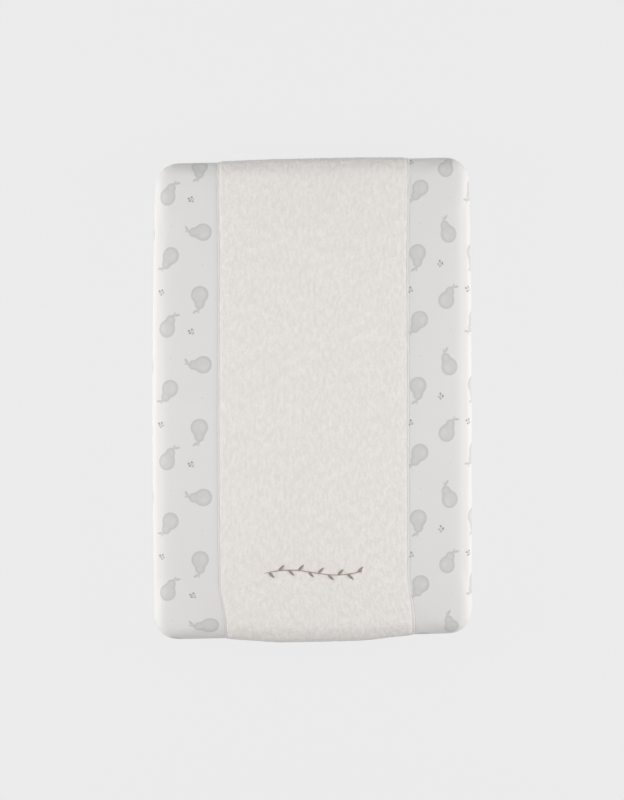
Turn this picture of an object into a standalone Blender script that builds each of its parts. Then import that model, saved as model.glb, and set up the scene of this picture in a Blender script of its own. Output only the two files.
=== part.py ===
"""A baby changing mat in its fitted cover, piece by piece.

A block of foam is welded into a wipe-clean skin of two sheets, with four vent eyelets underneath.
The stretched cover has a terry centre panel and two printed jersey side panels, joined by two
overlock seams, with a dart seam at each corner. It is drawn in below the pad by an elastic in a
sewn hem casing.

Metres, +Z up. X is the width and Y the length, with the head end at +Y. The origin is the middle
of the footprint, on the surface that the mat lies on.
"""
import math

import bmesh
import bpy
from mathutils import Matrix, Vector

# ---------------------------------------------------------------- driving sizes
PAD_WIDTH = 0.493          # foam pad with its skin, without the cover
PAD_LENGTH = 0.743
PAD_HEIGHT = 0.081
CORNER_R = 0.036           # corners seen from above
SHOULDER_R = 0.018         # rounding between the top and the walls
LOWER_R = 0.012            # rounding between the walls and the underside

SKIN_T = 0.0008            # wipe-clean coated fabric
WELD_HEIGHT = 0.005        # band where the two sheets of the skin are welded
WELD_LEVEL = 0.016         # lower edge of that band above the underside

EYELET_BORE_R = 0.0030
EYELET_WALL = 0.0008
EYELET_FLANGE_R = 0.0062
EYELET_FLANGE_T = 0.0007
EYELET_X = 0.105           # from the middle of the pad
EYELET_Y = 0.205

JERSEY_T = 0.0009
TERRY_T = 0.0030
TERRY_WIDTH = 0.291        # between the two overlock seams
SEAM_WIDTH = 0.0030
SEAM_T = 0.0024

DART_WIDTH = 0.0024
DART_T = 0.0008

COVER_REACH = 0.055        # how far the cover turns in below the pad
OPENING_R = 0.080          # corners of the opening underneath
ELASTIC_WIDTH = 0.0110
ELASTIC_T = 0.0016
ELASTIC_PLAY = 0.0006      # free space on each side of the elastic in its casing
CASING_RISE = 0.0016       # free height that the gathered casing keeps over the elastic
THREAD = 0.0006

LABEL_WIDTH = 0.028
LABEL_LENGTH = 0.042
LABEL_T = 0.0005
LABEL_Y = -0.120           # along the left side of the underside

SPRIG_LENGTH = 0.150
SPRIG_SWAY = 0.0045        # the stem's swing to each side
SPRIG_STEM_W = 0.0016
SPRIG_T = 0.0009
SPRIG_LEAF_LENGTH = 0.0125
SPRIG_LEAF_WIDTH = 0.0044
SPRIG_LEAVES = 10
SPRIG_LEAF_ANGLE = 45      # degrees off the stem
SPRIG_X = -0.002           # middle of the embroidery on the terry
SPRIG_Y = -0.264

GAP = 0.0003               # between any two pieces that touch
EYELET_CLEARANCE = 0.0003  # round the barrel and round the crimped edge in the foam

CORNER_SEGMENTS = 8
ROUND_SEGMENTS = 4
EYELET_SEGMENTS = 20
SMOOTH_ANGLE = math.radians(40)
MERGE = 0.000001           # joins the end of a swept ring to its start

# ---------------------------------------------------------------- levels that follow
HEM_WIDTH = ELASTIC_WIDTH + 2 * (ELASTIC_PLAY + JERSEY_T)
HEM_HEIGHT = ELASTIC_T + CASING_RISE + 2 * JERSEY_T
HEM_SLIT = THREAD + 2 * GAP                    # where the folded edge is sewn down
PAD_Z = HEM_HEIGHT + GAP                       # underside of the pad, above the casing
COVER_TOP = PAD_Z + PAD_HEIGHT + GAP           # inner face of the cover on top
OPENING_X = PAD_WIDTH / 2 - COVER_REACH        # half sizes of the opening
OPENING_Y = PAD_LENGTH / 2 - COVER_REACH
SEAM_X = (TERRY_WIDTH + SEAM_WIDTH) / 2 + GAP  # middle of each overlock seam


# ---------------------------------------------------------------- modelling helpers
def clear_scene():
    for obj in list(bpy.data.objects):
        bpy.data.objects.remove(obj, do_unlink=True)


def finish_of(name, colour, roughness, metallic=0.0):
    material = bpy.data.materials.new(name)
    material.use_nodes = True
    shader = material.node_tree.nodes["Principled BSDF"]
    shader.inputs["Base Color"].default_value = (*colour, 1.0)
    shader.inputs["Roughness"].default_value = roughness
    shader.inputs["Metallic"].default_value = metallic
    return material


def empty(name, parent=None):
    obj = bpy.data.objects.new(name, None)
    bpy.context.scene.collection.objects.link(obj)
    obj.parent = parent
    return obj


def face_outwards(bm):
    """Turn every face away from the middle of the pad, or out of a closed piece."""
    bmesh.ops.recalc_face_normals(bm, faces=bm.faces)
    if bm.calc_volume(signed=True) < 0:
        bmesh.ops.reverse_faces(bm, faces=bm.faces)


def place(name, bm, material, parent, location=(0, 0, 0)):
    """Turn a finished bmesh into a named object."""
    face_outwards(bm)
    mesh = bpy.data.meshes.new(name)
    bm.to_mesh(mesh)
    bm.free()
    mesh.materials.append(material)
    mesh.shade_smooth()
    mesh.set_sharp_from_angle(angle=SMOOTH_ANGLE)
    obj = bpy.data.objects.new(name, mesh)
    bpy.context.scene.collection.objects.link(obj)
    obj.parent = parent
    obj.location = location
    return obj


def rounded_loop(half_x, half_y, radius, z):
    """The points of a rectangle with round corners, starting mid-way up the +X side."""
    points = []
    middles = ((half_x, 0), (0, half_y), (-half_x, 0), (0, -half_y))
    for turn, middle in enumerate(middles):
        points.append(Vector((*middle, z)))
        cx = (half_x - radius) * (1 if turn in (0, 3) else -1)
        cy = (half_y - radius) * (1 if turn in (0, 1) else -1)
        for step in range(CORNER_SEGMENTS + 1):
            angle = math.pi / 2 * (turn + step / CORNER_SEGMENTS)
            points.append(Vector((cx + radius * math.cos(angle), cy + radius * math.sin(angle), z)))
    return points


def loft(bm, loops):
    """Extrude a loop of points through the loops after it; gives the first and last edges."""
    verts = [bm.verts.new(point) for point in loops[0]]
    first = [bm.edges.new(pair) for pair in zip(verts, verts[1:] + verts[:1])]
    last = first
    for points in loops[1:]:
        grown = bmesh.ops.extrude_edge_only(bm, edges=last)["geom"]
        risen = {item for item in grown if isinstance(item, bmesh.types.BMVert)}
        last = [item for item in grown
                if isinstance(item, bmesh.types.BMEdge) and risen.issuperset(item.verts)]
        verts = [next(edge.other_vert(vert) for edge in vert.link_edges
                      if edge.other_vert(vert) in risen) for vert in verts]
        for vert, point in zip(verts, points):
            vert.co = point
    return first, last


def pad_rings(offset):
    """The pad's outline, bottom to top, as (half_x, half_y, corner radius, z) at an offset outwards."""
    half_x = PAD_WIDTH / 2 + offset
    half_y = PAD_LENGTH / 2 + offset
    lower_r = LOWER_R + offset
    shoulder_r = SHOULDER_R + offset
    rings = []
    for step in range(ROUND_SEGMENTS + 1):
        angle = math.pi / 2 * step / ROUND_SEGMENTS
        inset = lower_r * (1 - math.sin(angle))
        rings.append((inset, lower_r * (1 - math.cos(angle)) - offset))
    for step in range(ROUND_SEGMENTS + 1):
        angle = math.pi / 2 * step / ROUND_SEGMENTS
        inset = shoulder_r * (1 - math.cos(angle))
        rings.append((inset, PAD_HEIGHT + offset - shoulder_r * (1 - math.sin(angle))))
    return [(half_x - inset, half_y - inset, CORNER_R + offset - inset, z) for inset, z in rings]


def pad_surface(offset, bottom=None, top=True):
    """The pad's skin as an open or closed surface. bottom is None, "cap" or "opening"."""
    bm = bmesh.new()
    loops = [rounded_loop(*ring) for ring in pad_rings(offset)]
    if bottom == "opening":
        loops.insert(0, rounded_loop(OPENING_X, OPENING_Y, OPENING_R, -offset))
    first, last = loft(bm, loops)
    if bottom == "cap":
        bmesh.ops.contextual_create(bm, geom=first)
    if top:
        bmesh.ops.contextual_create(bm, geom=last)
    return bm


def keep_side(bm, point, normal):
    """Cut a surface along a plane and keep the side that the normal points away from."""
    geometry = bm.verts[:] + bm.edges[:] + bm.faces[:]
    bmesh.ops.bisect_plane(bm, geom=geometry, plane_co=point, plane_no=normal, clear_outer=True)
    loose = [vert for vert in bm.verts if not vert.link_faces]
    bmesh.ops.delete(bm, geom=loose, context="VERTS")


def thicken(obj, thickness, outwards=True):
    modifier = obj.modifiers.new("thickness", "SOLIDIFY")
    modifier.thickness = thickness
    modifier.offset = 1 if outwards else -1
    modifier.use_even_offset = True
    return modifier


def cut(obj, cutter):
    modifier = obj.modifiers.new("cut_" + cutter.name, "BOOLEAN")
    modifier.operation = "DIFFERENCE"
    modifier.solver = "EXACT"
    modifier.object = cutter


def drum(name, radius, z_low, z_high, positions, parent):
    """A cutter: upright cylinders at several places."""
    bm = bmesh.new()
    for x, y in positions:
        matrix = Matrix.Translation((x, y, (z_low + z_high) / 2))
        bmesh.ops.create_cone(bm, cap_ends=True, segments=EYELET_SEGMENTS, radius1=radius,
                              radius2=radius, depth=z_high - z_low, matrix=matrix)
    obj = place(name, bm, cutter_finish, parent)
    obj.hide_render = True
    obj.display_type = "WIRE"
    return obj


clear_scene()
mat = empty("changing_mat")
pad = empty("pad", mat)
pad.location.z = PAD_Z
cover = empty("cover", mat)

cutter_finish = finish_of("cutter", (0.5, 0.5, 0.5), 0.5)
foam_finish = finish_of("foam", (0.93, 0.90, 0.80), 0.95)
skin_finish = finish_of("coated_fabric", (0.90, 0.90, 0.89), 0.45)
weld_finish = finish_of("welded_edge", (0.84, 0.84, 0.83), 0.40)
eyelet_finish = finish_of("nickel_plate", (0.78, 0.77, 0.75), 0.28, 1.0)
terry_finish = finish_of("terry", (0.78, 0.73, 0.70), 0.95)
jersey_finish = finish_of("printed_jersey", (0.74, 0.73, 0.72), 0.85)
seam_finish = finish_of("overlock_thread", (0.82, 0.78, 0.75), 0.80)
dart_finish = finish_of("dart_thread", (0.76, 0.75, 0.74), 0.80)
hem_finish = finish_of("hem_jersey", (0.76, 0.75, 0.73), 0.85)
thread_finish = finish_of("hem_thread", (0.80, 0.79, 0.77), 0.75)
elastic_finish = finish_of("elastic", (0.88, 0.88, 0.86), 0.70)
label_finish = finish_of("satin_label", (0.88, 0.88, 0.87), 0.45)
embroidery_finish = finish_of("embroidery_thread", (0.42, 0.30, 0.28), 0.50)

# ---------------------------------------------------------------- foam core
# One cut block of foam, with a pocket over each eyelet for its crimped edge.
eyelet_places = [(sx * EYELET_X, sy * EYELET_Y) for sy in (1, -1) for sx in (-1, 1)]
foam_offset = -(SKIN_T + GAP)
crimp_top = SKIN_T + GAP + EYELET_FLANGE_T

foam = place("foam_core", pad_surface(foam_offset, bottom="cap"), foam_finish, pad)
pocket = drum("eyelet_pocket", EYELET_FLANGE_R + EYELET_CLEARANCE, 0, crimp_top + GAP,
              eyelet_places, pad)
cut(foam, pocket)

# ---------------------------------------------------------------- wipe-clean skin
# An upper tray and a lower tray of coated fabric that meet at a welded band.
upper = pad_surface(0)
keep_side(upper, (0, 0, WELD_LEVEL + WELD_HEIGHT + GAP), (0, 0, -1))
thicken(place("pad_skin_top", upper, skin_finish, pad), SKIN_T, outwards=False)

band = pad_surface(0, top=False)
keep_side(band, (0, 0, WELD_LEVEL), (0, 0, -1))
keep_side(band, (0, 0, WELD_LEVEL + WELD_HEIGHT), (0, 0, 1))
thicken(place("pad_weld_band", band, weld_finish, pad), SKIN_T, outwards=False)

lower = pad_surface(0, bottom="cap", top=False)
keep_side(lower, (0, 0, WELD_LEVEL - GAP), (0, 0, 1))
lower_skin = place("pad_skin_bottom", lower, skin_finish, pad)
thicken(lower_skin, SKIN_T, outwards=False)
barrel_r = EYELET_BORE_R + EYELET_WALL
cut(lower_skin, drum("eyelet_hole", barrel_r + EYELET_CLEARANCE, -SKIN_T, 2 * SKIN_T,
                     eyelet_places, pad))

# ---------------------------------------------------------------- vent eyelets
# Each lets the welded bag breathe: a barrel through the lower sheet, crimped over on both faces.
eyelet_names = ("head_left", "head_right", "foot_left", "foot_right")
for eyelet_name, (x, y) in zip(eyelet_names, eyelet_places):
    outline = [
        (EYELET_BORE_R, -GAP - EYELET_FLANGE_T), (EYELET_FLANGE_R, -GAP - EYELET_FLANGE_T),
        (EYELET_FLANGE_R, -GAP), (barrel_r, -GAP),
        (barrel_r, SKIN_T + GAP), (EYELET_FLANGE_R, SKIN_T + GAP),
        (EYELET_FLANGE_R, crimp_top), (EYELET_BORE_R, crimp_top),
    ]
    bm = bmesh.new()
    verts = [bm.verts.new((radius, 0, z)) for radius, z in outline]
    edges = [bm.edges.new((a, b)) for a, b in zip(verts, verts[1:] + verts[:1])]
    bmesh.ops.spin(bm, geom=verts + edges, cent=(0, 0, 0), axis=(0, 0, 1), angle=math.tau,
                   steps=EYELET_SEGMENTS, use_merge=True)
    place("vent_eyelet_" + eyelet_name, bm, eyelet_finish, pad, (x, y, 0))

# ---------------------------------------------------------------- cover panels
# All of them are cut from one form, GAP outside the pad, which turns in below to the opening.
# The terry strip runs head to foot in the middle, with a jersey panel wrapped round each side.
terry = pad_surface(GAP, bottom="opening")
keep_side(terry, (TERRY_WIDTH / 2, 0, 0), (1, 0, 0))
keep_side(terry, (-TERRY_WIDTH / 2, 0, 0), (-1, 0, 0))
thicken(place("terry_centre_panel", terry, terry_finish, cover, (0, 0, PAD_Z)), TERRY_T)

for side, sign in (("left", -1), ("right", 1)):
    panel = pad_surface(GAP, bottom="opening")
    keep_side(panel, (sign * (SEAM_X + SEAM_WIDTH / 2 + GAP), 0, 0), (-sign, 0, 0))
    thicken(place("printed_panel_" + side, panel, jersey_finish, cover, (0, 0, PAD_Z)), JERSEY_T)

    # The overlocked seam stands as a narrow ridge between the terry and the jersey.
    ridge = pad_surface(GAP, bottom="opening")
    keep_side(ridge, (sign * (SEAM_X + SEAM_WIDTH / 2), 0, 0), (sign, 0, 0))
    keep_side(ridge, (sign * (SEAM_X - SEAM_WIDTH / 2), 0, 0), (-sign, 0, 0))
    thicken(place("overlock_seam_" + side, ridge, seam_finish, cover, (0, 0, PAD_Z)), SEAM_T)

# ---------------------------------------------------------------- corner darts
# A dart takes up the jersey at each corner; its sewn edge runs down the wall and in below.
dart_offset = GAP + JERSEY_T + GAP
for end, sy in (("head", 1), ("foot", -1)):
    for side, sx in (("left", -1), ("right", 1)):
        centre = Vector((sx * (PAD_WIDTH / 2 - CORNER_R), sy * (PAD_LENGTH / 2 - CORNER_R), 0))
        outwards = Vector((sx, sy, 0)).normalized()
        across = Vector((-sy, sx, 0)).normalized()
        dart = bmesh.new()
        loft(dart, [rounded_loop(*ring) for ring in pad_rings(dart_offset)[1:-1]])
        keep_side(dart, centre, -outwards)
        keep_side(dart, centre + across * DART_WIDTH / 2, across)
        keep_side(dart, centre - across * DART_WIDTH / 2, -across)
        name = "corner_dart_" + end + "_" + side
        thicken(place(name, dart, dart_finish, cover, (0, 0, PAD_Z)), DART_T)


# ---------------------------------------------------------------- elasticated hem
def hem_ring(name, outline, material):
    """Sweep a closed section round the opening. Its points are (distance in from the edge, z)."""
    bm = bmesh.new()
    loops = []
    for inset, z in outline + outline[:1]:
        inwards = GAP + inset
        loops.append(rounded_loop(OPENING_X - inwards, OPENING_Y - inwards,
                                  OPENING_R - inwards, z))
    loft(bm, loops)
    bmesh.ops.remove_doubles(bm, verts=bm.verts, dist=MERGE)
    return place(name, bm, material, cover)


# The casing is a folded strip of jersey: a flat tube, open along a slit that faces outwards.
slit_low = (HEM_HEIGHT - HEM_SLIT) / 2
slit_high = (HEM_HEIGHT + HEM_SLIT) / 2
hem_ring("hem_casing", [
    (0, slit_low), (0, 0), (HEM_WIDTH, 0), (HEM_WIDTH, HEM_HEIGHT), (0, HEM_HEIGHT), (0, slit_high),
    (JERSEY_T, slit_high), (JERSEY_T, HEM_HEIGHT - JERSEY_T),
    (HEM_WIDTH - JERSEY_T, HEM_HEIGHT - JERSEY_T), (HEM_WIDTH - JERSEY_T, JERSEY_T),
    (JERSEY_T, JERSEY_T), (JERSEY_T, slit_low),
], hem_finish)

# Flat woven elastic, loose in the casing and resting on its lower layer.
elastic_low = JERSEY_T + GAP
elastic_near = JERSEY_T + ELASTIC_PLAY
hem_ring("hem_elastic", [
    (elastic_near, elastic_low), (elastic_near + ELASTIC_WIDTH, elastic_low),
    (elastic_near + ELASTIC_WIDTH, elastic_low + ELASTIC_T), (elastic_near, elastic_low + ELASTIC_T),
], elastic_finish)

# The line of thread that closes the slit.
thread_low = (HEM_HEIGHT - THREAD) / 2
thread_near = (JERSEY_T - THREAD) / 2
hem_ring("hem_stitching", [
    (thread_near, thread_low), (thread_near + THREAD, thread_low),
    (thread_near + THREAD, thread_low + THREAD), (thread_near, thread_low + THREAD),
], thread_finish)

# ---------------------------------------------------------------- care label
# A blank satin tab, sewn flat to the jersey that turns in below the left side.
jersey_underside = PAD_Z - GAP - JERSEY_T
flat_outer = PAD_WIDTH / 2 - LOWER_R
label_x = -(OPENING_X + flat_outer) / 2
label_z = jersey_underside - GAP - LABEL_T / 2
label = bmesh.new()
bmesh.ops.create_cube(label, size=1.0)
bmesh.ops.scale(label, vec=(LABEL_WIDTH, LABEL_LENGTH, LABEL_T), verts=label.verts)
place("care_label", label, label_finish, cover, (label_x, LABEL_Y, label_z))


# ---------------------------------------------------------------- embroidered sprig
# Satin stitch on the terry near the foot end: a swaying stem with leaves on alternate sides.
def stem_height(x):
    return SPRIG_SWAY * math.sin(math.tau * x / SPRIG_LENGTH)


stem_steps = 24
stem = bmesh.new()
bmesh.ops.create_grid(stem, x_segments=stem_steps, y_segments=1, size=0.5)
bmesh.ops.scale(stem, vec=(SPRIG_LENGTH, SPRIG_STEM_W, 1), verts=stem.verts)
for vert in stem.verts:
    vert.co.y += stem_height(vert.co.x)
skin = bmesh.ops.extrude_face_region(stem, geom=stem.faces[:])
risen = [item for item in skin["geom"] if isinstance(item, bmesh.types.BMVert)]
bmesh.ops.translate(stem, vec=(0, 0, SPRIG_T), verts=risen)
sprig_z = COVER_TOP + TERRY_T + GAP
sprig = place("embroidered_sprig", stem, embroidery_finish, cover, (SPRIG_X, SPRIG_Y, sprig_z))

leaf_low = SPRIG_T / 16    # a leaf's faces lie just inside the stem's, so that the two can be joined
leaves = bmesh.new()
for index in range(SPRIG_LEAVES):
    along = (index + 0.5) / SPRIG_LEAVES - 0.5
    foot = Vector((along * SPRIG_LENGTH, stem_height(along * SPRIG_LENGTH), leaf_low))
    turn = math.radians(SPRIG_LEAF_ANGLE * (1 if index % 2 else -1))
    reach = Matrix.Translation((SPRIG_LEAF_LENGTH / 2, 0, 0))
    shape = Matrix.Diagonal((SPRIG_LEAF_LENGTH / 2, SPRIG_LEAF_WIDTH / 2, 1, 1))
    matrix = Matrix.Translation(foot) @ Matrix.Rotation(turn, 4, "Z") @ reach @ shape
    disc = bmesh.ops.create_circle(leaves, cap_ends=True, segments=14, radius=1, matrix=matrix)
    face = disc["verts"][0].link_faces[0]
    skin = bmesh.ops.extrude_face_region(leaves, geom=[face])
    risen = [item for item in skin["geom"] if isinstance(item, bmesh.types.BMVert)]
    bmesh.ops.translate(leaves, vec=(0, 0, SPRIG_T - 2 * leaf_low), verts=risen)
leaf_set = place("sprig_leaves", leaves, cutter_finish, cover, (SPRIG_X, SPRIG_Y, sprig_z))
leaf_set.hide_render = True
leaf_set.display_type = "WIRE"
join = sprig.modifiers.new("join_leaves", "BOOLEAN")
join.operation = "UNION"
join.solver = "EXACT"
join.object = leaf_set
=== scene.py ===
import math

import bmesh
import bpy
from mathutils import Matrix, Vector, noise
from mathutils.bvhtree import BVHTree


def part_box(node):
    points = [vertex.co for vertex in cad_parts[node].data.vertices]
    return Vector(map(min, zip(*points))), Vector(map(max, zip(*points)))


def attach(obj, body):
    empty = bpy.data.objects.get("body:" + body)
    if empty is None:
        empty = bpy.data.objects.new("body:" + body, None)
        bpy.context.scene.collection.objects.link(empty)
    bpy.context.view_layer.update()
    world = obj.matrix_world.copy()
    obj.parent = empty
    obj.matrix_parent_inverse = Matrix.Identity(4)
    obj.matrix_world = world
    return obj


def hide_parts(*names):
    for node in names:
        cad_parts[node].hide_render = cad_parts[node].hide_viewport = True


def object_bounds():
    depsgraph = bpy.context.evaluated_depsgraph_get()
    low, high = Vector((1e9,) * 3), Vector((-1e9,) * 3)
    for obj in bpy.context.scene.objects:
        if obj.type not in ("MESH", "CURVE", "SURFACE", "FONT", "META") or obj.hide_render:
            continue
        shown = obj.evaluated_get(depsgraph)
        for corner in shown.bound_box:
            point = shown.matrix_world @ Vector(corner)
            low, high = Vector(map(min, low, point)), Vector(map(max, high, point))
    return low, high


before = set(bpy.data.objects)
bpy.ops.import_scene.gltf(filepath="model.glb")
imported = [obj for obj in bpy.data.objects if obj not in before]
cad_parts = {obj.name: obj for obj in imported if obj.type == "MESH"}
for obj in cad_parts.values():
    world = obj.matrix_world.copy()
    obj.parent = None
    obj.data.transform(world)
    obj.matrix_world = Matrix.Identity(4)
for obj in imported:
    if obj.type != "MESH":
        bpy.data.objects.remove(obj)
cad_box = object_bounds()


# -------------------- camera, floor and light
# The mat lies on a plain pale floor and is seen from straight above, with its head end up.
# Two soft lights stand at its long sides, so the walls there are brighter than the ends.
CAMERA_HEIGHT = 2.60
VIEW_HEIGHT = 1.246  # metres of floor from the top to the bottom of the picture
SENSOR = 36.0
VIEW_REACH = 60
PALE = (0.831, 0.831, 0.831, 1.0)

scene = bpy.context.scene
scene.view_settings.view_transform = "Standard"
middle_height = cad_box[1][2] / 2

camera = bpy.data.objects.new("camera", bpy.data.cameras.new("camera"))
camera.data.sensor_fit = "VERTICAL"
camera.data.sensor_height = SENSOR
camera.data.lens = SENSOR * CAMERA_HEIGHT / VIEW_HEIGHT
camera.data.clip_end = VIEW_REACH
camera.location = (0, 0, CAMERA_HEIGHT + middle_height)
scene.collection.objects.link(camera)
scene.camera = camera


class Link:
    """A value that runs between shader nodes; arithmetic on it adds Math nodes."""

    def __init__(self, tree, socket=None):
        self.tree = tree
        self.socket = socket

    def node(self, kind, settings, inputs, output=0):
        """Add a node: its settings first, then the values or links of its sockets."""
        made = self.tree.nodes.new("ShaderNode" + kind)
        for name, value in settings.items():
            if name == "stops":
                ramp = made.color_ramp
                while len(ramp.elements) < len(value):
                    ramp.elements.new(0.5)
                for element, (place, colour) in zip(ramp.elements, value):
                    element.position = place
                    element.color = (*colour, 1.0)
            else:
                setattr(made, name, value)
        for name, value in inputs.items():
            if isinstance(value, Link):
                self.tree.links.new(value.socket, made.inputs[name])
            else:
                made.inputs[name].default_value = value
        return Link(self.tree, made.outputs[output])

    def places(self):
        """The Object coordinates, which stay with the piece."""
        return self.node("TexCoord", {}, {}, "Object")

    def parts(self):
        """The three parts of a vector, each as a link."""
        split = self.node("SeparateXYZ", {}, {"Vector": self}).socket.node
        return [Link(self.tree, output) for output in split.outputs]

    def math(self, operation, *values):
        return self.node("Math", {"operation": operation}, dict(enumerate(values)))

    def __add__(self, other):
        return self.math("ADD", self, other)

    def __sub__(self, other):
        return self.math("SUBTRACT", self, other)

    def __rsub__(self, other):
        return self.math("SUBTRACT", other, self)

    def __mul__(self, other):
        return self.math("MULTIPLY", self, other)

    def __truediv__(self, other):
        return self.math("DIVIDE", self, other)

    def __mod__(self, other):
        return self.math("FLOORED_MODULO", self, other)

    __radd__ = __add__
    __rmul__ = __mul__

    def least(self, other):
        return self.math("MINIMUM", self, other)

    def most(self, other):
        return self.math("MAXIMUM", self, other)

    def floor(self):
        return self.math("FLOOR", self)

    def wave(self, turns=1.0):
        """A sine that comes round this many times for each unit."""
        return self.math("SINE", self * (math.tau * turns))

    def fade(self, start, end):
        """0 before start and 1 after end, smoothly; end may be the lower one."""
        limits = {"From Min": start, "From Max": end}
        return self.node("MapRange", {"interpolation_type": "SMOOTHSTEP"},
                         {"Value": self, **limits})

    def noise(self, vector, scale, detail=2.0):
        inputs = {"Vector": vector, "Scale": scale, "Detail": detail}
        return self.node("TexNoise", {}, inputs)

    def mix(self, share, first, second):
        """One colour turning into another; colours are triples or links."""
        first = (*first, 1.0) if isinstance(first, tuple) else first
        second = (*second, 1.0) if isinstance(second, tuple) else second
        mixer = self.tree.nodes.new("ShaderNodeMix")
        mixer.data_type = "RGBA"
        for place, value in ((0, share), (6, first), (7, second)):
            if isinstance(value, Link):
                self.tree.links.new(value.socket, mixer.inputs[place])
            else:
                mixer.inputs[place].default_value = value
        return Link(self.tree, mixer.outputs[2])

    def bump(self, distance, strength=1.0):
        """A Bump node for this height, which is 0 to 1 over the distance."""
        inputs = {"Height": self, "Distance": distance, "Strength": strength}
        return self.node("Bump", {}, inputs)


def finish(name, **constants):
    """A Principled material, a Link to build with and a setter for its sockets."""
    material = bpy.data.materials.new(name)
    material.use_nodes = True
    shader = material.node_tree.nodes["Principled BSDF"]
    for socket, value in constants.items():
        shader.inputs[socket.replace("_", " ")].default_value = value
    tree = material.node_tree

    def feed(**links):
        for socket, link in links.items():
            tree.links.new(link.socket, shader.inputs[socket.replace("_", " ")])

    return material, Link(tree), feed


def shown(name, shape):
    """A new object in the scene, with this shape as its mesh."""
    mesh = bpy.data.meshes.new(name)
    shape.to_mesh(mesh)
    holder = bpy.data.objects.new(name, mesh)
    scene.collection.objects.link(holder)
    return holder


FLOOR_GLOW = 0.968  # share of the floor's brightness that no shadow takes away
FLOOR_TONE = (0.03, 0.03, 0.03, 1.0)
FLOOR_HALF = 15
FLOOR_DROP = 0.0005  # below the mat
floor_mesh = bmesh.new()
bmesh.ops.create_grid(floor_mesh, x_segments=1, y_segments=1, size=FLOOR_HALF)
floor = shown("floor", floor_mesh)
floor_mesh.free()
floor.location.z = -FLOOR_DROP
floor.visible_diffuse = False
floor_finish, _, _ = finish("floor_paint", Base_Color=FLOOR_TONE, Roughness=0.9,
                            Specular_IOR_Level=0.0, Emission_Color=PALE,
                            Emission_Strength=FLOOR_GLOW)
floor.data.materials.append(floor_finish)

SKY = 0.535  # the room's light from above
BOUNCE = 0.70  # and from the pale floor, on the walls
HORIZON = 0.15
world = bpy.data.worlds.new("room")
scene.world = world
world.use_nodes = True
room = Link(world.node_tree)
background = world.node_tree.nodes["Background"]
direction = room.node("TexCoord", {}, {}, "Generated")
upward = room.node("SeparateXYZ", {}, {"Vector": direction}, "Z")
glow = room.mix(upward.fade(-HORIZON, HORIZON), (BOUNCE, BOUNCE, BOUNCE), (SKY, SKY, SKY))
seen = room.node("LightPath", {}, {}, "Is Camera Ray")
glow = room.mix(seen, glow, PALE[:3])
world.node_tree.links.new(glow.socket, background.inputs["Color"])

LIGHT_POWER = 17.6
LIGHT_REACH = 1.6  # from the mat to each side light
LIGHT_RISE = 0.72
LIGHT_SIZE = (0.8, 1.0)
for side in (-1, 1):
    lamp = bpy.data.lights.new("side_light", "AREA")
    lamp.shape = "RECTANGLE"
    lamp.size, lamp.size_y = LIGHT_SIZE
    lamp.energy = LIGHT_POWER
    holder = bpy.data.objects.new("side_light", lamp)
    holder.location = (side * LIGHT_REACH, 0, LIGHT_RISE)
    aim = Vector((-side * LIGHT_REACH, 0, -LIGHT_RISE))
    holder.rotation_euler = aim.to_track_quat("-Z", "Y").to_euler()
    scene.collection.objects.link(holder)


# -------------------- foam core
# One block of open-cell foam, cut with rounded corners and edges. It fills the wipe-clean skin
# and holds the cover out. It isn't glued: the welded skin keeps it in place.
LEAN = 0.021  # the mat lies out of square: its right side is further up
HEAD_RECESS = 0.0015  # how far the ends draw in beside the terry panel
FOOT_RECESS = 0.0068
HEAD_TAPER = 0.0050  # how much narrower each side is at the ends than half way
FOOT_TAPER = 0.0018
FOOT_DRIFT = 0.0024  # the foot end lies this much further right
SEAM_DRIFT = 0.0018
SEAM_KICK = 0.0080  # the seams swing to the right at the foot end
SEAM_SPREAD = 0.0042  # and apart at the head end
RECESS_ACROSS = (0.05, 0.15)  # where each of these starts and is whole
SPREAD_ACROSS = (0.05, 0.14)
SEAM_ACROSS = (0.155, 0.235)
KICK_ALONG = (0.275, 0.350)
SPREAD_ALONG = (0.200, 0.370)
EASE = 0.0045  # room left between the pad and the blown-out cover
FOAM_RADII = (0.033, 0.016, 0.010)  # of the corners, the shoulders and the lower edges
FOAM_CELLS = (44, 66, 8)
FOAM_TONES = (0.62, 0.58, 0.47), (0.85, 0.82, 0.72)
CELL_SCALE = 520.0

foam_low, foam_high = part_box("foam_core")
half_width, half_length, _ = cad_box[1]


def ramp(value, start, end):
    """0 before start and 1 after end, smoothly."""
    share = max(0.0, min(1.0, (value - start) / (end - start)))
    return share * share * (3 - 2 * share)


def settle(place):
    """A point of the straight mat, as the mat lies in use: sheared, drawn in and shifted."""
    x, y, z = place
    along = y / half_length
    beside = ramp(abs(x), *RECESS_ACROSS)
    recess = HEAD_RECESS if y > 0 else FOOT_RECESS
    taper = HEAD_TAPER if y > 0 else FOOT_TAPER
    near_seam = 1 - ramp(abs(x), *SEAM_ACROSS)
    kick = SEAM_KICK * ramp(-y, *KICK_ALONG)
    spread = math.copysign(SEAM_SPREAD * ramp(abs(x), *SPREAD_ACROSS), x)
    kick += spread * ramp(y, *SPREAD_ALONG)
    moved_x = x * (1 - taper * along * along / half_width) + FOOT_DRIFT * max(0.0, -along) ** 2
    moved_x += (SEAM_DRIFT + kick) * near_seam
    moved_y = y - math.copysign(recess * beside * along ** 4, y) + LEAN * x
    return Vector((moved_x, moved_y, z))


def drawn_in(a, b):
    """Draw the corner of a square in to its quarter circle."""
    if a <= 0 or b <= 0:
        return a, b
    share = max(a, b) / math.hypot(a, b)
    return a * share, b * share


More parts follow.
